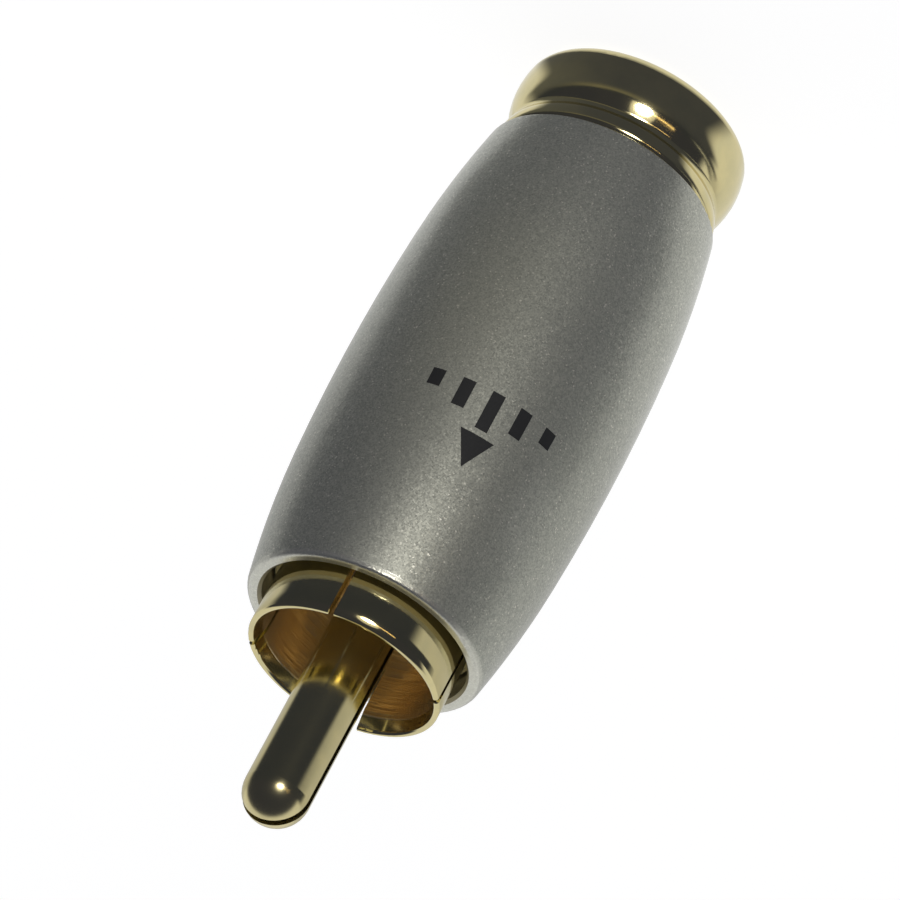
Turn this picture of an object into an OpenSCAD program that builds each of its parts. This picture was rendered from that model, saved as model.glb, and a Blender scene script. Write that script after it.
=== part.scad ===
// Phono plug for a cable: a barrel-shaped sleeve screwed onto a slotted ground contact with a split centre pin.
// It stands on the flat rear face of its ferrule. The axis is +Z, towards the pin. Lengths are in millimetres.

/* [Centre pin] */
// Diameter of the contact pin
pin_d = 3.2; // [3:0.05:3.4]
// Length of the pin that stands out past the collar
pin_out = 8.6; // [7.5:0.05:10]
// Width of the saw cut that splits the pin
pin_slot_w = 0.4; // [0.2:0.05:0.6]
// Length of the saw cut, from the tip
pin_slot_l = 12; // [8:0.5:14]
// Step of the shoulders on the pin, each way out from the next smaller diameter
pin_step = 0.4; // [0.3:0.05:0.5]
// Rim of the shoulder that the insulators trap
pin_collar_w = 0.7; // [0.5:0.05:0.9]
// Thickness of that shoulder
pin_collar_t = 0.8; // [0.6:0.1:1.2]
// Length of the pin behind the rear insulator, down to the mouth of its solder cup
pin_tail_l = 6; // [5:0.1:7]
// Depth of the solder cup
cup_depth = 4.4; // [3:0.1:4.8]
// Wall of the solder cup
cup_wall = 0.5; // [0.4:0.05:0.7]
// Length over which the cup is cut open to one side
cup_open_l = 3.2; // [2:0.1:3.4]

/* [Contact body] */
// Inside diameter of the slotted ground collar
collar_bore_d = 8.45; // [8.2:0.05:8.6]
// Wall of the collar
collar_wall = 0.54; // [0.4:0.02:0.7]
// Flare inside the collar's rim, which leads the jack in
rim_flare = 0.24; // [0.1:0.02:0.3]
// Length of that flare
rim_flare_l = 0.8; // [0.4:0.1:1.2]
// Depth of the collar, from its rim to its floor
collar_depth = 5.8; // [5:0.1:6.4]
// Length of the collar that stands out past the sleeve
collar_out = 2.2; // [1.5:0.05:3]
// Width of the slits in the collar
slit_w = 0.28; // [0.2:0.02:0.5]
// Length of the slits, from the rim
slit_l = 3.3; // [2.6:0.1:3.4]
// Number of slits
slit_n = 4; // [2, 4, 6]
// Depth of the flange's front face below the sleeve's lip
flange_recess = 1.4; // [1.2:0.05:1.6]
// Thickness of the flange
flange_t = 1; // [0.8:0.1:1.4]
// Width of the flange's seat on the sleeve, beyond the thread
flange_seat_w = 0.2; // [0.15:0.01:0.3]
// Length of the thread that holds the sleeve
thread_l = 4.5; // [4:0.1:5]
// Step from the tail up to the root of the thread
thread_step = 0.12; // [0.1:0.01:0.2]
// Depth of the thread, from its root out to the sleeve's bore
thread_depth = 0.2; // [0.15:0.01:0.25]
// Bore of the tail, for the cable and the insulators
tail_bore_d = 7.2; // [7:0.1:7.6]
// Wall of the tail
tail_wall = 0.9; // [0.8:0.05:1.1]
// Length of the closed ring at the tail's end
tail_ring_l = 3.2; // [2.8:0.1:4]
// Gap between the tail's end and the ferrule's spigot
tail_gap = 2.1; // [1:0.1:3]
// Height of the trough that the window leaves, above the axis
window_sill = 0.5; // [0:0.1:1]
// Thickness of the lip that the front insulator seats on
seat_lip_t = 0.8; // [0.6:0.1:1.2]
// Width of that lip
seat_lip_w = 0.7; // [0.5:0.05:0.9]
// Turn of the contacts in the sleeve at the end of the thread
contact_turn = 24; // [0:1:89]

/* [Insulators] */
// Thickness of the front insulator behind its seat
front_insulator_t = 2.3; // [1.8:0.1:2.6]
// Thickness of the rear insulator
rear_insulator_t = 2.4; // [1.8:0.1:2.8]
// Thickness of the retaining ring
retainer_t = 0.7; // [0.5:0.1:1]
// Width of the retaining ring
retainer_w = 1.1; // [0.8:0.1:1.3]

/* [Clamp screws] */
// Diameter of the set screws
screw_d = 2; // [1.6:0.1:2.2]
// Length of the set screws
screw_l = 1.2; // [1:0.1:2]
// Width across flats of their sockets
screw_socket_af = 0.9; // [0.7:0.1:1]
// Depth of their sockets
screw_socket_depth = 0.8; // [0.5:0.1:1]
// Depth of their outer ends below the tail's surface
screw_recess = 0.1; // [0:0.05:0.3]

/* [Liner] */
// Wall of the liner
liner_wall = 0.4; // [0.3:0.05:0.5]

/* [Sleeve] */
// Length of the sleeve
sleeve_l = 26.6; // [25.5:0.1:30]
// Wall of the sleeve at its ends
sleeve_wall = 0.7; // [0.6:0.05:1]
// Rise of the crown above the ends
crown_rise = 1.06; // [0.8:0.02:1.4]
// Radius of the long arc along the crown
crown_r = 110; // [90:5:200]
// Length of that arc, between the arcs that draw the ends in
crown_l = 13; // [10:0.5:15]
// Rounding of the front lip
lip_r = 0.35; // [0.2:0.05:0.4]
// Rounding of the rear edge
rear_edge_r = 0.2; // [0.1:0.05:0.4]
// Chamfer inside the mouth
mouth_chamfer = 0.15; // [0.1:0.05:0.25]

/* [Rear ferrule] */
// Length of the ferrule behind the sleeve
ferrule_l = 4.65; // [4.3:0.05:5.2]
// Bore of the cable entry
cable_bore_d = 7.2; // [6.5:0.1:7.6]
// Length of the spigot pressed into the sleeve
spigot_l = 4.2; // [3:0.1:4.4]
// Length of the small tier beside the sleeve, down to the bottom of the crease
band_l = 1.28; // [1.1:0.02:1.5]
// Radius of the small tier's crown
band_arc_r = 1.2; // [1:0.1:2]
// Distance of the small tier's crown from the sleeve
band_crown = 0.45; // [0.3:0.05:0.6]
// Step from the large tier out to the sleeve's end
bead_step = 0.07; // [0.05:0.01:0.3]
// Radius of the large tier's crown
bead_arc_r = 3.9; // [3:0.1:6]
// Height of the large tier's crown above the rear face
bead_crown = 1.5; // [1:0.05:1.7]
// Rounding of the rear edge
bead_edge_r = 0.8; // [0.4:0.1:1]
// Rounding of the crease between the tiers, on the large tier's side
crease_bead_r = 0.5; // [0.2:0.1:2]
// Rounding of the crease on the small tier's side
crease_band_r = 0.3; // [0.2:0.05:0.8]
// Rounding of the cable entry
entry_r = 0.5; // [0.2:0.1:0.6]

/* [Fits] */
// Radial gap of pieces that are pressed together
press_gap = 0.02; // [0.01:0.01:0.04]
// Gap around pieces that slide or turn
slide_gap = 0.12; // [0.08:0.01:0.2]

/* [Hidden] */
$fn = 128;
arc_fn = 1440;
gold = "#d9bd62";
pearl = "#8c8b85";
ivory = "#ece8dc";
umber = "#2b2521";
// Reach of the shapes that cut right through
past = 1;
// Overlap of arcs that run into each other
lap = 0.0002;

// Radii, from the pin outwards
pin_r = pin_d / 2;
pin_shank_r = pin_r + pin_step;
pin_collar_r = pin_shank_r + pin_collar_w;
cup_r = pin_shank_r - cup_wall;
collar_in_r = collar_bore_d / 2;
collar_r = collar_in_r + collar_wall;
tail_in_r = tail_bore_d / 2;
tail_r = tail_in_r + tail_wall;
seat_lip_r = tail_in_r - seat_lip_w;
thread_r = tail_r + thread_step;
thread_bore_r = thread_r + thread_depth;
flange_r = thread_bore_r + flange_seat_w;
liner_in_r = tail_r + slide_gap;
liner_r = liner_in_r + liner_wall;
sleeve_bore_r = max(flange_r, liner_r) + slide_gap;
sleeve_end_r = sleeve_bore_r + sleeve_wall;
cable_r = cable_bore_d / 2;
bead_r = sleeve_end_r - bead_step;
spigot_r = sleeve_bore_r - press_gap;

// Heights, from the rear face up
sleeve_z0 = ferrule_l;
lip_z = sleeve_z0 + sleeve_l;
rim_z = lip_z + collar_out;
tip_z = rim_z + pin_out;
floor_z = rim_z - collar_depth;
flange_z = lip_z - flange_recess;
seat_z = flange_z - flange_t;
thread_z = seat_z - thread_l;
insulator_z = floor_z - seat_lip_t;
pin_collar_z = insulator_z - front_insulator_t;
rear_insulator_z = pin_collar_z - rear_insulator_t;
retainer_z = rear_insulator_z - retainer_t;
spigot_z = ferrule_l + spigot_l;
tail_z = spigot_z + tail_gap;
window_z0 = tail_z + tail_ring_l;
window_z1 = retainer_z - slide_gap;
cup_z = rear_insulator_z - pin_tail_l;
screw_z = tail_z + tail_ring_l / 2;

// Arcs of the sleeve. The end arc leaves the crown arc in line with it and runs through the sleeve's end.
sleeve_mid_z = sleeve_z0 + sleeve_l / 2;
crown_x = sleeve_end_r + crown_rise - crown_r;
crown_angle = asin(crown_l / 2 / crown_r);
crown_way = [cos(crown_angle), sin(crown_angle)];
crown_end = [crown_x, 0] + crown_r * crown_way;
end_chord = [sleeve_end_r, sleeve_l / 2] - crown_end;
end_arc_r = -(end_chord * end_chord) / (2 * (end_chord * crown_way));
end_arc = crown_end - end_arc_r * crown_way;

// Arcs of the ferrule. The crease leaves the arcs of both tiers in line with them.
crease_z = ferrule_l - band_l;
bead_x = bead_r - bead_arc_r;
bead_reach = bead_arc_r + crease_bead_r;
bead_angle = asin((crease_z - bead_crown) / bead_reach);
crease_r = bead_x + bead_reach * cos(bead_angle) - crease_bead_r;
band_reach = band_arc_r + crease_band_r;
band_angle = asin((band_l - band_crown) / band_reach);
band_x = crease_r + crease_band_r - band_reach * cos(band_angle);
band_r = band_x + band_arc_r;

// Solid of revolution with its profile drawn in radius and height
module turned() {
    rotate_extrude() children();
}

// Rectangle between two radii and two heights
module band(r0, r1, z0, z1) {
    translate([r0, z0]) square([r1 - r0, z1 - z0]);
}

// Crowned band out to radius r, with its crown at height zc
module crowned(r, arc_r, zc, z0, z1) {
    intersection() {
        band(0, r, z0, z1);
        translate([r - arc_r, zc]) circle(arc_r, $fn = arc_fn);
    }
}

// Profile hollowed from height z0 up to z1 by the arc of radius r about centre
module hollowed(centre, r, z0, z1) {
    difference() {
        band(0, centre[0] - lap, z0, z1);
        translate([centre[0] - lap, centre[1]]) circle(r, $fn = arc_fn);
    }
}

// Profile from height z0 up to its end at z1, along the arc of radius arc_r about centre.
// The end is rounded to edge_r, and the rounding leaves the arc in line with it.
module rounded_end(centre, arc_r, edge_r, z0, z1) {
    edge_z = z1 - edge_r;
    edge_x = centre[0] + sqrt((arc_r - edge_r) ^ 2 - (edge_z - centre[1]) ^ 2) + lap;
    join_z = centre[1] + (edge_z - centre[1]) * arc_r / (arc_r - edge_r);
    intersection() {
        band(0, centre[0] + arc_r, z0, join_z);
        translate(centre) circle(arc_r, $fn = arc_fn);
    }
    translate([edge_x, edge_z]) circle(edge_r);
    band(0, edge_x, z0, z1);
}

// One half of the sleeve's outline, upwards from just below its middle
module sleeve_half(edge_r) {
    intersection() {
        band(0, sleeve_end_r + crown_rise, -past, crown_end[1]);
        translate([crown_x, 0]) circle(crown_r, $fn = arc_fn);
    }
    rounded_end(end_arc, end_arc_r, edge_r, 0, sleeve_l / 2);
}

// Barrel-shaped outer sleeve, threaded inside behind its mouth
module sleeve() {
    color(pearl) turned() difference() {
        translate([0, sleeve_mid_z]) {
            sleeve_half(lip_r);
            mirror([0, 1]) sleeve_half(rear_edge_r);
        }
        band(0, thread_bore_r, sleeve_z0 - past, lip_z + past);
        band(0, sleeve_bore_r, seat_z, lip_z + past);
        band(0, sleeve_bore_r, sleeve_z0 - past, thread_z);
        polygon([
            [0, lip_z - sleeve_bore_r - mouth_chamfer],
            [sleeve_bore_r + mouth_chamfer + past, lip_z + past],
            [0, lip_z + past]
        ]);
    }
}

// Rear ring of two rounded tiers, pressed into the sleeve, with the cable entry through it
module rear_ferrule() {
    bead_top = crease_z - crease_bead_r * sin(bead_angle);
    band_foot = crease_z + crease_band_r * sin(band_angle);
    color(gold) turned() difference() {
        union() {
            crowned(band_r, band_arc_r, ferrule_l - band_crown, crease_z, ferrule_l);
            hollowed([crease_r + crease_band_r, crease_z], crease_band_r, crease_z, band_foot);
            hollowed([crease_r + crease_bead_r, crease_z], crease_bead_r, bead_top, crease_z);
            crowned(bead_r, bead_arc_r, bead_crown, bead_crown - bead_edge_r / 2, crease_z);
            mirror([0, 1])
                rounded_end([bead_x, -bead_crown], bead_arc_r, bead_edge_r, -bead_crown, 0);
            band(0, spigot_r, bead_crown, spigot_z);
        }
        band(0, cable_r, -past, spigot_z + past);
        difference() {
            band(0, cable_r + entry_r, -past, entry_r);
            translate([cable_r + entry_r, entry_r]) circle(entry_r);
        }
    }
}

// Plastic tube around the tail, held between the ferrule and the sleeve's thread
module liner() {
    color(ivory) turned()
        band(liner_in_r, liner_r, spigot_z + slide_gap, thread_z - slide_gap);
}

// Ground contact, turned in one piece: slotted collar, flange, thread and tail with its solder window
module contact_body() {
    nose_r = (collar_wall - rim_flare) / 2;
    nose_z = rim_z - nose_r;
    color(gold) rotate([0, 0, contact_turn]) difference() {
        turned() {
            difference() {
                band(collar_in_r, collar_r, floor_z, nose_z);
                polygon([
                    [0, nose_z - rim_flare_l],
                    [collar_in_r, nose_z - rim_flare_l],
                    [collar_in_r + rim_flare, nose_z],
                    [0, nose_z + past]
                ]);
            }
            translate([collar_r - nose_r, nose_z]) circle(nose_r);
            band(collar_in_r, flange_r, seat_z, flange_z);
            band(seat_lip_r, thread_r, insulator_z, floor_z);
            band(tail_in_r, thread_r, thread_z, insulator_z);
            band(collar_in_r, thread_r, floor_z, seat_z);
            band(tail_in_r, tail_r, tail_z, thread_z);
        }
        for (i = [0 : slit_n - 1])
            rotate([0, 0, i * 360 / slit_n])
                translate([0, -slit_w / 2, rim_z - slit_l]) cube([collar_r + past, slit_w, slit_l + past]);
        translate([-tail_r - past, window_sill, window_z0])
            cube([2 * (tail_r + past), tail_r + past, window_z1 - window_z0]);
        translate([0, 0, screw_z]) rotate([0, 90, 0])
            cylinder(r = screw_d / 2 + press_gap, h = 2 * (tail_r + past), center = true);
    }
}

// Bush that centres the pin in the collar's floor
module front_insulator() {
    color(umber) turned() {
        band(pin_shank_r + press_gap, seat_lip_r - press_gap, insulator_z, floor_z);
        band(pin_shank_r + press_gap, tail_in_r - press_gap, pin_collar_z, insulator_z);
    }
}

// Bush that traps the pin's shoulder against the front insulator
module rear_insulator() {
    color(umber) turned() {
        band(pin_collar_r + press_gap, tail_in_r - press_gap, pin_collar_z - pin_collar_t, pin_collar_z);
        band(pin_shank_r + press_gap, tail_in_r - press_gap, rear_insulator_z, pin_collar_z - pin_collar_t);
    }
}

// Ring pressed into the tail behind the insulators
module retaining_ring() {
    color(gold) turned()
        band(tail_in_r - retainer_w, tail_in_r - press_gap, retainer_z, rear_insulator_z);
}

// Split contact pin with its shoulder and an open solder cup
module centre_pin() {
    color(gold) rotate([0, 0, contact_turn + 90]) difference() {
        turned() {
            intersection() {
                translate([0, tip_z - pin_r]) circle(pin_r);
                band(0, pin_r, tip_z - pin_r, tip_z);
            }
            band(0, pin_r, floor_z, tip_z - pin_r);
            band(0, pin_shank_r, cup_z, floor_z);
            band(0, pin_collar_r, pin_collar_z - pin_collar_t, pin_collar_z);
        }
        translate([-pin_slot_w / 2, -pin_d, tip_z - pin_slot_l]) cube([pin_slot_w, 2 * pin_d, pin_slot_l + past]);
        translate([0, 0, cup_z - past]) cylinder(r = cup_r, h = cup_depth + past);
        translate([0, -pin_d, cup_z - past]) cube([pin_d, 2 * pin_d, cup_open_l + past]);
    }
}

// Two set screws in the ring of the tail, which clamp the cable
module clamp_screws() {
    socket_d = screw_socket_af / cos(30);
    color(gold) rotate([0, 0, contact_turn])
        for (side = [0, 180])
            rotate([0, 0, side]) translate([tail_r - screw_recess, 0, screw_z]) rotate([0, -90, 0])
                difference() {
                    cylinder(d = screw_d, h = screw_l);
                    translate([0, 0, -past]) cylinder(d = socket_d, h = screw_socket_depth + past, $fn = 6);
                }
}

sleeve();
rear_ferrule();
liner();
contact_body();
front_insulator();
rear_insulator();
retaining_ring();
centre_pin();
clamp_screws();
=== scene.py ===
import math

import bpy
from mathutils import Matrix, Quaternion, Vector


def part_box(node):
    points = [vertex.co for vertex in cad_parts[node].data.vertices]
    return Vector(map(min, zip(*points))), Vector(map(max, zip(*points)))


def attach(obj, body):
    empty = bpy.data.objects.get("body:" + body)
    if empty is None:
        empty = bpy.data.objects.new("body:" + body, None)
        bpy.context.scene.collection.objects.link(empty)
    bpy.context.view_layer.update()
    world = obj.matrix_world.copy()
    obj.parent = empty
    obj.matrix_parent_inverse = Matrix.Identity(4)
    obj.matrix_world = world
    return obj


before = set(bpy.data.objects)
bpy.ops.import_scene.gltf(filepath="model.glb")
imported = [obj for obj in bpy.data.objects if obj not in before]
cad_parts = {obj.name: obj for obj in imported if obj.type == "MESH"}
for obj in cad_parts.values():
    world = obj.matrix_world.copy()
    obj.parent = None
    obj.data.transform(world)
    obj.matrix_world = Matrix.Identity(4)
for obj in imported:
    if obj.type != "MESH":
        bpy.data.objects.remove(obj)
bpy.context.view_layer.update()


# Contact body: the ground contact, turned from brass bar in one piece and gold plated.
# Its slotted collar grips the jack, and its thread holds the sleeve. The polish leaves faint
# turning lines, and inside the collar the plating is thin and the lines are deeper.
class Wire:
    """An output in a material's nodes. Arithmetic on it adds Math nodes."""

    def __init__(self, tree, socket):
        self.tree = tree
        self.socket = socket

    def node(self, kind, settings, inputs, output=0):
        made = self.tree.nodes.new("ShaderNode" + kind)
        for name, value in settings.items():
            setattr(made, name, value)
        for name, value in inputs.items():
            if isinstance(value, Wire):
                self.tree.links.new(value.socket, made.inputs[name])
            else:
                made.inputs[name].default_value = value
        return Wire(self.tree, made.outputs[output])

    def maths(self, operation, first, second=0.0):
        return self.node("Math", {"operation": operation}, {0: first, 1: second})

    def __add__(self, other):
        return self.maths("ADD", self, other)

    __radd__ = __add__

    def __sub__(self, other):
        return self.maths("SUBTRACT", self, other)

    def __rsub__(self, other):
        return self.maths("SUBTRACT", other, self)

    def __mul__(self, other):
        return self.maths("MULTIPLY", self, other)

    __rmul__ = __mul__

    def __truediv__(self, other):
        return self.maths("DIVIDE", self, other)

    def __pow__(self, other):
        return self.maths("POWER", self, other)

    def __abs__(self):
        return self.maths("ABSOLUTE", self)

    def __lt__(self, other):
        return self.maths("LESS_THAN", self, other)

    def __gt__(self, other):
        return self.maths("GREATER_THAN", self, other)

    def arctan2(self, other):
        return self.maths("ARCTAN2", self, other)

    def capped(self, most):
        return self.maths("MINIMUM", self, most)

    def ease(self, low, high):
        return self.node(
            "MapRange",
            {"interpolation_type": "SMOOTHSTEP"},
            {"Value": self, "From Min": low, "From Max": high},
        )

    def blend(self, first, second):
        """From one colour to the other. A Mix node takes colours at 6 and 7 and gives one at 2."""
        return self.node("Mix", {"data_type": "RGBA"}, {"Factor": self, 6: first, 7: second}, 2)

    def vector(self, operation, second=(0.0, 0.0, 0.0)):
        return self.node("VectorMath", {"operation": operation}, {0: self, 1: second})

    def scaled(self, amount):
        return self.node("VectorMath", {"operation": "SCALE"}, {0: self, "Scale": amount})

    def split(self):
        parts = self.node("SeparateXYZ", {}, {0: self}).socket.node.outputs
        return [Wire(self.tree, part) for part in parts]

    def noise(self, scale, detail):
        return self.node("TexNoise", {}, {"Vector": self, "Scale": scale, "Detail": detail})

    def bump(self, strength, depth):
        return self.node("Bump", {}, {"Height": self, "Strength": strength, "Distance": depth})


def new_finish(name):
    finish = bpy.data.materials.new(name)
    finish.use_nodes = True
    tree = finish.node_tree
    surface = tree.nodes["Principled BSDF"]
    place = Wire(tree, tree.nodes.new("ShaderNodeTexCoord").outputs["Object"])
    return finish, surface, place


def axis_distance(place):
    x, y, z = place.split()
    return (x * x + y * y) ** 0.5, x, y, z


def lean_normal(normal, lean):
    return normal.vector("ADD", lean).vector("NORMALIZE")


def feed(surface, name, wire):
    wire.tree.links.new(wire.socket, surface.inputs[name])


def dress(node_name, finish):
    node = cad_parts[node_name]
    node.data.materials.clear()
    node.data.materials.append(finish)


def gold_plate(name, line_width, polish, bore=0.0, rolled=None, rub_and_sheen=None):
    """Thin inside the bore's radius, rolled over between two levels outside a wall's radius,
    and dulled by wear from one level up to another."""
    pale_gold = (0.69, 0.605, 0.325, 1)
    deep_gold = (0.62, 0.555, 0.31, 1)
    thin_gold = (0.80, 0.64, 0.38, 1)
    finish, surface, place = new_finish(name)
    radius, _, _, z = axis_distance(place)
    ring = place.node("CombineXYZ", {}, {0: radius / line_width, 2: z / line_width})
    lines = ring.noise(scale=1.0, detail=2.0)
    waver = place.noise(scale=420.0, detail=1.0)
    cloud = place.noise(scale=900.0, detail=4.0)
    tone = cloud.ease(0.3, 0.7).blend(pale_gold, deep_gold)
    rough = polish + 0.05 * lines + 0.04 * cloud
    lift = 0.0
    surface.inputs["Metallic"].default_value = 1.0
    if bore:
        thin = radius < bore
        tone = thin.blend(tone, thin_gold)
        rough = rough + 0.08 * thin
        lift = (lines - 0.5) * 1.1 * thin
        feed(surface, "Metallic", 1 - 0.18 * thin)
    if rub_and_sheen:
        rough = rough + 0.08 * z.ease(*rub_and_sheen)
    normal = (waver * 0.6 + lines * 0.1).bump(strength=0.12, depth=0.00002)
    if rolled:
        low, high, wall = rolled
        lift = z.ease(low, high) * (radius > wall) * 0.9 + lift
    if bore or rolled:
        normal = lean_normal(normal, place.node("CombineXYZ", {}, {2: lift}))
    feed(surface, "Base Color", tone)
    feed(surface, "Roughness", rough)
    feed(surface, "Normal", normal)
    return finish


collar_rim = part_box("contact_body")[1].z
collar_bore = 0.0043
collar_wall = 0.0046
collar_roll = (collar_rim - 0.00095, collar_rim + 0.00065, collar_wall)
contact_gold = gold_plate(
    "contact_gold", line_width=0.00004, polish=0.05, bore=collar_bore, rolled=collar_roll
)
dress("contact_body", contact_gold)

# Thread of the contact body: a single right-hand ridge rolled round the body behind its flange.
# It is one with the body and plated with it, so it turns and rises with it out of the sleeve.
thread_root = 0.00459
thread_crest = 0.00479
thread_foot = 0.00056
thread_flat = 0.00012
thread_start = 0.0246
thread_pitch = 0.00075
thread_turns = 5
thread_steps = 72
bpy.ops.object.select_all(action="DESELECT")
bpy.ops.mesh.primitive_plane_add(size=thread_foot, rotation=(math.radians(90), 0, 0))
thread_ridge = bpy.context.object
thread_ridge.name = "thread_ridge"
bpy.ops.object.transform_apply(location=False, rotation=True, scale=False)
bpy.ops.object.mode_set(mode="EDIT")
bpy.ops.mesh.select_mode(type="VERT")
bpy.ops.mesh.select_all(action="SELECT")
bpy.ops.transform.resize(value=(0, 1, 1), center_override=(0, 0, 0))
bpy.ops.mesh.remove_doubles(threshold=0.000001)
bpy.ops.transform.translate(value=(thread_root, 0, thread_start))
bpy.ops.mesh.extrude_region_move(
    TRANSFORM_OT_translate={"value": (thread_crest - thread_root, 0, 0)}
)
bpy.ops.transform.resize(
    value=(1, 1, thread_flat / thread_foot), center_override=(thread_crest, 0, thread_start)
)
bpy.ops.object.mode_set(mode="OBJECT")
ridge_turn = thread_ridge.modifiers.new("ridge_turn", "SCREW")
ridge_turn.axis = "Z"
ridge_turn.screw_offset = thread_pitch
ridge_turn.iterations = thread_turns
ridge_turn.steps = thread_steps
ridge_turn.render_steps = thread_steps
bpy.ops.object.modifier_apply(modifier="ridge_turn")
bpy.ops.object.mode_set(mode="EDIT")
bpy.ops.mesh.select_mode(type="EDGE")
bpy.ops.mesh.select_all(action="DESELECT")
bpy.ops.mesh.select_non_manifold()
bpy.ops.mesh.edge_face_add()
bpy.ops.mesh.select_all(action="SELECT")
bpy.ops.mesh.normals_make_consistent(inside=False)
bpy.ops.object.mode_set(mode="OBJECT")
bpy.ops.object.shade_smooth_by_angle(angle=math.radians(30))
thread_ridge.data.materials.clear()
thread_ridge.data.materials.append(contact_gold)
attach(thread_ridge, "contacts")


# Insulators: two bushes turned from brown phenolic rod, one on each side of the pin's shoulder.
# They centre the pin in the collar's floor, and show fine rings from the turning tool.
def turned_phenolic(name):
    dark_brown = (0.10, 0.078, 0.064, 1)
    mid_brown = (0.15, 0.117, 0.096, 1)
    finish, surface, place = new_finish(name)
    radius, _, _, z = axis_distance(place)
    rings = place.node(
        "TexWave",
        {"wave_type": "BANDS", "bands_direction": "X"},
        {
            "Vector": place.node("CombineXYZ", {}, {0: radius, 1: z}),
            "Scale": 5200.0,
            "Distortion": 0.6,
        },
    )
    haze = place.noise(scale=1400.0, detail=3.0)
    feed(surface, "Base Color", haze.blend(dark_brown, mid_brown))
    feed(surface, "Roughness", 0.38 + 0.14 * haze)
    feed(surface, "Normal", (rings + 0.3 * haze).bump(strength=0.25, depth=0.00001))
    return finish


insulator_brown = turned_phenolic("insulator_dark")
dress("front_insulator", insulator_brown)
dress("rear_insulator", insulator_brown)

# Centre pin: turned brass, gold plated after a saw has split it from the tip, so that it springs.
# It is rubbed by use, most of all on its tip, and so it is a little less sharp than the collar.
pin_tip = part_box("centre_pin")[1].z
tip_rub = (pin_tip - 0.00184, pin_tip - 0.00084)
pin_gold = gold_plate("pin_gold", line_width=0.00005, polish=0.11, rub_and_sheen=tip_rub)
dress("centre_pin", pin_gold)

# Retaining ring: a plain turned ring, pressed in behind the insulators.
# It is brass, gold plated with the body, and less polished because nothing shows it.
dress("retaining_ring", gold_plate("ring_gold", line_width=0.00006, polish=0.12))


# Clamp screws: two small socket set screws of blackened steel in the tail of the contact body.
# They press on the cable's jacket. The oxide is dull, and rubbed bright in places.
def black_oxide(name):
    oxide = (0.03, 0.03, 0.033, 1)
    bare_steel = (0.22, 0.21, 0.20, 1)
    finish, surface, place = new_finish(name)
    rub = place.noise(scale=2600.0, detail=4.0)
    bare = rub.ease(0.55, 0.72)
    feed(surface, "Base Color", bare.blend(oxide, bare_steel))
    feed(surface, "Roughness", 0.5 - 0.18 * bare)
    feed(surface, "Normal", rub.bump(strength=0.2, depth=0.00001))
    surface.inputs["Metallic"].default_value = 0.8
    return finish


dress("clamp_screws", black_oxide("screw_oxide"))


# Liner: a length of thin natural nylon tube that keeps the soldered wires off the sleeve.
# It is extruded, so its faint lines run along it, and it lies loose round the body's tail.
def drawn_nylon(name):
    shaded_nylon = (0.72, 0.70, 0.63, 1)
    pale_nylon = (0.80, 0.78, 0.72, 1)
    finish, surface, place = new_finish(name)
    drawn = place.vector("MULTIPLY", (1.0, 1.0, 0.03)).noise(scale=3000.0, detail=2.0)
    feed(surface, "Base Color", drawn.blend(shaded_nylon, pale_nylon))
    feed(surface, "Roughness", 0.34 + 0.12 * drawn)
    feed(surface, "Normal", drawn.bump(strength=0.15, depth=0.00001))
    return finish


dress("liner", drawn_nylon("liner_nylon"))


# Sleeve: the barrel-shaped grip, turned from brass, which screws onto the contact body. It has a
# pearl grey coat of fine metal flake with a charcoal mark printed on it. The coat thins out inside
# the mouth, where dull brass shows. Round the lip the coat is smoother, and painted paler there as
# a painted highlight.
def mark_shape(across, level):
    """A triangle over five bars, in millimetres on the unrolled sleeve."""
    triangle_half = 0.88
    triangle_base = 2.4
    triangle_tip = 4.2
    bar_half = 0.32
    bars = ((-3.0, 0.9), (-1.5, 1.5), (0.0, 2.1), (1.5, 1.5), (3.0, 0.9))
    slant = triangle_half / (triangle_tip - triangle_base)
    inside = (level > triangle_base) * ((triangle_tip - level) * slant > abs(across))
    for middle, tall in bars:
        inside = inside + (abs(across - middle) < bar_half) * (level > 0.0) * (level < tall)
    return inside


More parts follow.
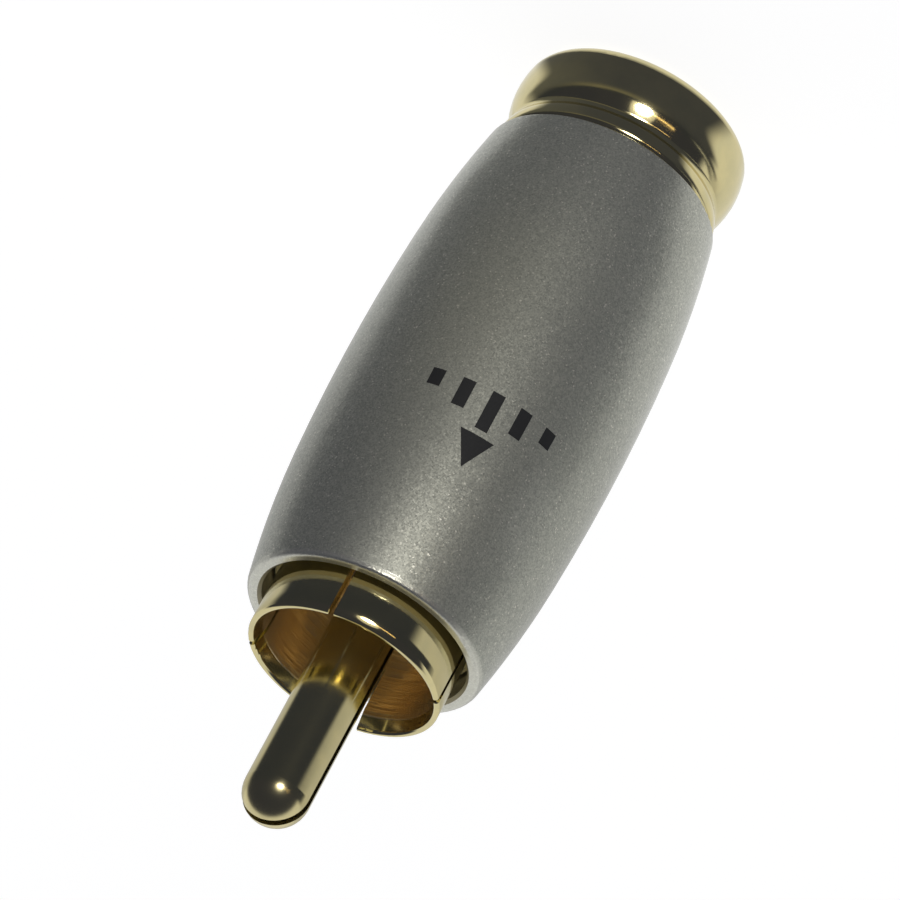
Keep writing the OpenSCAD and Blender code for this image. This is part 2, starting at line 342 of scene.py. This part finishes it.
def pearl_coat(name):
    millimetre = 0.001
    bore_edge = 0.00529
    widest = 0.0069
    mark_foot = 0.0207
    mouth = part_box("sleeve")[1].z
    dark_pearl = (0.31, 0.320, 0.285, 1)
    pale_pearl = (0.62, 0.632, 0.553, 1)
    bright_flake = (0.75, 0.745, 0.66, 1)
    # Painted highlight: a paler colour laid round the lip, standing in for the lamp's line of light
    # along its rounding.
    painted_lip_highlight = (0.86, 0.85, 0.75, 1)
    charcoal = (0.012, 0.013, 0.015, 1)
    dull_brass = (0.42, 0.40, 0.33, 1)
    brass_rough = 0.42
    finish, surface, place = new_finish(name)
    radius, x, y, z = axis_distance(place)
    coat = radius > bore_edge

    flake = place.node("TexVoronoi", {}, {"Vector": place, "Scale": 15000.0}, "Color")
    glint, shade, _ = flake.split()
    sparkle = glint > 0.985
    grain = place.noise(scale=5200.0, detail=3.0)
    haze = place.noise(scale=160.0, detail=3.0)
    # Band round the lip: there the coat is smoother, and its colour is painted paler as a painted
    # highlight.
    rub_and_sheen = z.ease(mouth - 0.0003, mouth - 0.0001)

    across = x.arctan2(y * -1) * (widest / millimetre)
    ink = mark_shape(across, (z - mark_foot) / millimetre)

    body = (shade * 0.6 + grain * 0.4).blend(dark_pearl, pale_pearl)
    flaked = sparkle.blend(body, bright_flake)
    # Near the lip the colour is blended towards the painted lip highlight.
    inked = ink.blend((rub_and_sheen * 0.45).blend(flaked, painted_lip_highlight), charcoal)
    feed(surface, "Base Color", coat.blend(dull_brass, inked))
    coat_rough = 0.415 + 0.08 * haze + 0.06 * grain - 0.06 * sparkle - 0.14 * rub_and_sheen
    feed(surface, "Roughness", coat * (coat_rough + 0.08 * ink) + (1 - coat) * brass_rough)
    feed(surface, "Metallic", 0.5 + coat * (0.3 - ink * 0.75))
    feed(surface, "Coat Weight", coat * (0.7 - 0.45 * ink))
    surface.inputs["Coat Roughness"].default_value = 0.12

    facing = Wire(place.tree, place.tree.nodes.new("ShaderNodeNewGeometry").outputs["Normal"])
    _, _, facing_up = facing.split()
    level_end = facing_up.ease(0.7, 0.95)
    lip_land = z.ease(mouth - 0.00025, mouth - 0.00005) * coat * (1 - level_end)
    flake_lean = flake.vector("SUBTRACT", (0.5, 0.5, 0.5)).scaled(0.11 * coat * (1 - ink))
    lip_lean = place.node("CombineXYZ", {}, {2: lip_land * -0.55})
    feed(surface, "Normal", lean_normal(facing, flake_lean.vector("ADD", lip_lean)))
    return finish


dress("sleeve", pearl_coat("sleeve_pearl"))

# Rear ferrule: a ring of two rounded tiers with the cable's entry through it, turned from brass,
# gold plated and polished. Its spigot is pressed into the rear of the sleeve, and the small tier
# is rolled over against the sleeve's edge.
sleeve_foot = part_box("sleeve")[0].z
tier_wall = 0.0052
tier_roll = (sleeve_foot - 0.0006, sleeve_foot + 0.0004, tier_wall)
ferrule_gold = gold_plate("ferrule_gold", line_width=0.00006, polish=0.05, rolled=tier_roll)
dress("rear_ferrule", ferrule_gold)

# Floor: a white sheet that the plug stands on, plain white with a soft shadow to the eye.
# Polished metal sees a painted reflection on it: a dark room painted on its near side, round the
# camera, and a paler painted patch of light. The ferrule sees the floor close by, the sleeve and
# the collar further out, and the pin's tip furthest.
floor_radius = 1.6
glow_to_eye = 0.7
white_to_eye = (1.32, 1.32, 1.32, 1)
# Colours that only polished metal sees on the floor, a painted reflection: white fading with
# distance, a dark room and a light patch.
white_near = (0.86, 0.86, 0.84, 1)
white_far = (0.60, 0.60, 0.585, 1)
room_near_front = (0.068, 0.073, 0.098, 1)
room_near_side = (0.14, 0.145, 0.155, 1)
room_far = (0.042, 0.047, 0.068, 1)
painted_light_patch = (0.20, 0.19, 0.155, 1)
paper_white = (0.9, 0.9, 0.9, 1)
bpy.ops.object.select_all(action="DESELECT")
bpy.ops.mesh.primitive_circle_add(vertices=96, radius=floor_radius, fill_type="NGON")
floor = bpy.context.object
floor.name = "floor"
paper = bpy.data.materials.new("floor_paper")
paper.use_nodes = True
paper_tree = paper.node_tree
paper_tree.nodes.clear()
paper_place = Wire(paper_tree, paper_tree.nodes.new("ShaderNodeTexCoord").outputs["Object"])
reach, paper_x, paper_y, _ = axis_distance(paper_place)
# Degrees round the plug from +X, at which the dark begins and ends.
turn = paper_y.arctan2(paper_x) * (180 / math.pi)
past_ferrule = reach.ease(0.0075, 0.018)
past_rear = reach.ease(0.024, 0.032)
past_middle = reach.ease(0.04, 0.055)
past_sleeve = reach.ease(0.048, 0.054)
past_pin = reach.ease(0.075, 0.088)
dark_from = -134 - 27 * past_ferrule - 15 * past_rear + 36 * past_sleeve - 36 * past_pin
dark_to = -6 + 28 * past_ferrule + 6 * past_middle
dark_soft = 9
patch_turn = -54
in_room = turn.ease(dark_from - dark_soft, dark_from + dark_soft)
out_of_room = turn.ease(dark_to - dark_soft, dark_to + dark_soft)
# Where the painted dark room lies on the floor, as polished metal sees it.
room_shade = in_room * (1 - out_of_room) * reach.ease(0.0056, 0.0061)
far_off = reach.ease(0.012, 0.05)
room_near = turn.ease(-70, 20).blend(room_near_front, room_near_side)
# Painted light patch: a paler area in the painted reflection, standing in for a broad light to one
# side.
patch = (1 - abs(turn - patch_turn).ease(8, 62)) * (1 - past_middle) * reach.ease(0.016, 0.032)
room_dark = patch.blend(far_off.blend(room_near, room_far), painted_light_patch)
# What polished metal sees on the floor: the painted reflection of a dark room and a light patch on
# white.
painted_reflection = room_shade.blend(far_off.blend(white_near, white_far), room_dark)
rays = paper_tree.nodes.new("ShaderNodeLightPath").outputs
camera_ray = Wire(paper_tree, rays["Is Camera Ray"])
glossy_ray = Wire(paper_tree, rays["Is Glossy Ray"])
clear_ray = Wire(paper_tree, rays["Is Transmission Ray"])
white_seen = glossy_ray.blend(white_to_eye, painted_reflection)
seen = camera_ray.node("Emission", {}, {"Color": white_seen, "Strength": 1.0})
lit = camera_ray.node("BsdfDiffuse", {}, {"Color": paper_white})
shown = (camera_ray * glow_to_eye + glossy_ray + clear_ray).capped(1.0)
paper_mix = shown.node("MixShader", {}, {0: shown, 1: lit, 2: seen})
paper_out = paper_tree.nodes.new("ShaderNodeOutputMaterial")
paper_tree.links.new(paper_mix.socket, paper_out.inputs["Surface"])
floor.data.materials.append(paper)


# Room light: a white surround behind the plug and a dark room round the camera. What a hollow
# throws back more than twice also finds a pale ceiling, so the inside of the collar isn't black.
def direction(turn_degrees, rise_degrees):
    turned = math.radians(turn_degrees)
    rise = math.tan(math.radians(rise_degrees))
    return Vector((math.cos(turned), math.sin(turned), rise)).normalized()


room_heart = direction(turn_degrees=-64, rise_degrees=20)
surround_white = (0.84, 0.84, 0.83, 1)
room_black = (0.045, 0.048, 0.072, 1)
ceiling_pale = (1.05, 1.02, 0.96, 1)
world = bpy.data.worlds.new("room")
bpy.context.scene.world = world
world.use_nodes = True
world_tree = world.node_tree
world_tree.nodes.clear()
sky_way = Wire(world_tree, world_tree.nodes.new("ShaderNodeTexCoord").outputs["Generated"])
sky_dot = sky_way.node(
    "VectorMath", {"operation": "DOT_PRODUCT"}, {0: sky_way, 1: room_heart}, "Value"
)
sky_rays = world_tree.nodes.new("ShaderNodeLightPath").outputs
sky_seen = Wire(world_tree, sky_rays["Is Camera Ray"])
bounces = Wire(world_tree, sky_rays["Ray Depth"])
_, _, sky_rise = sky_way.split()
ceiling = sky_rise.ease(0.5, 0.9) * (bounces > 2.5)
room_side = sky_dot.ease(-0.2, 0.0) * (1 - sky_seen)
sky_tone = room_side.blend(surround_white, ceiling.blend(room_black, ceiling_pale))
sky = sky_tone.node("Background", {}, {"Color": sky_tone, "Strength": 1.0})
sky_out = world_tree.nodes.new("ShaderNodeOutputWorld")
world_tree.links.new(sky.socket, sky_out.inputs["Surface"])


# Key light: one small hard lamp, low on the camera's side, and the wide warm glow of its
# reflector. A thin warm strip beside it draws each glint out to one side.
def area_lamp(name, shape, turn_degrees, wide, tall, energy, colour):
    away = 0.5
    lamp_height = 0.047
    plug_middle = Vector((0, 0, 0.02))
    turned = math.radians(turn_degrees)
    place = Vector((away * math.cos(turned), away * math.sin(turned), lamp_height))
    bpy.ops.object.light_add(type="AREA", location=place)
    lamp = bpy.context.object
    lamp.name = name
    lamp.data.shape = shape
    lamp.data.size = wide
    lamp.data.size_y = tall
    lamp.data.energy = energy
    lamp.data.color = colour
    lamp.visible_camera = False
    lamp.rotation_mode = "QUATERNION"
    lamp.rotation_quaternion = (place - plug_middle).to_track_quat("Z", "Y")


key_turn = -86
strip_turn = -105
key_white = (1.0, 0.97, 0.92)
strip_orange = (1.0, 0.72, 0.34)
area_lamp("key", "ELLIPSE", key_turn, wide=0.14, tall=0.088, energy=0.66, colour=key_white)
area_lamp("strip", "RECTANGLE", strip_turn, wide=0.24, tall=0.012, energy=0.03, colour=strip_orange)
bpy.ops.object.light_add(type="SUN")
glow = bpy.context.object
glow.name = "glow"
glow.data.energy = 0.12
glow.data.angle = math.radians(26)
glow.data.color = (1.0, 0.95, 0.86)
glow.rotation_mode = "QUATERNION"
glow.rotation_quaternion = direction(key_turn, rise_degrees=5).to_track_quat("Z", "Y")

# Camera: a long lens, looking down at the plug from the side of its mark.
# It is rolled over so that the pin points to the lower left.
camera_eye = Vector((0.015191, -0.347932, 0.220958))
camera_aim = Vector((0.000455, 0.001047, 0.019974))
camera_roll = Quaternion((0, 0, 1), math.radians(-151.618))
bpy.ops.object.camera_add(location=camera_eye)
camera = bpy.context.object
camera.name = "camera"
camera.rotation_mode = "QUATERNION"
camera.rotation_quaternion = (camera_aim - camera_eye).to_track_quat("-Z", "Y") @ camera_roll
camera.data.sensor_width = 36.0
camera.data.lens = 349.55
camera.data.clip_start = 0.01
camera.data.clip_end = 10.0
bpy.context.scene.camera = camera
bpy.context.scene.view_settings.view_transform = "Standard"
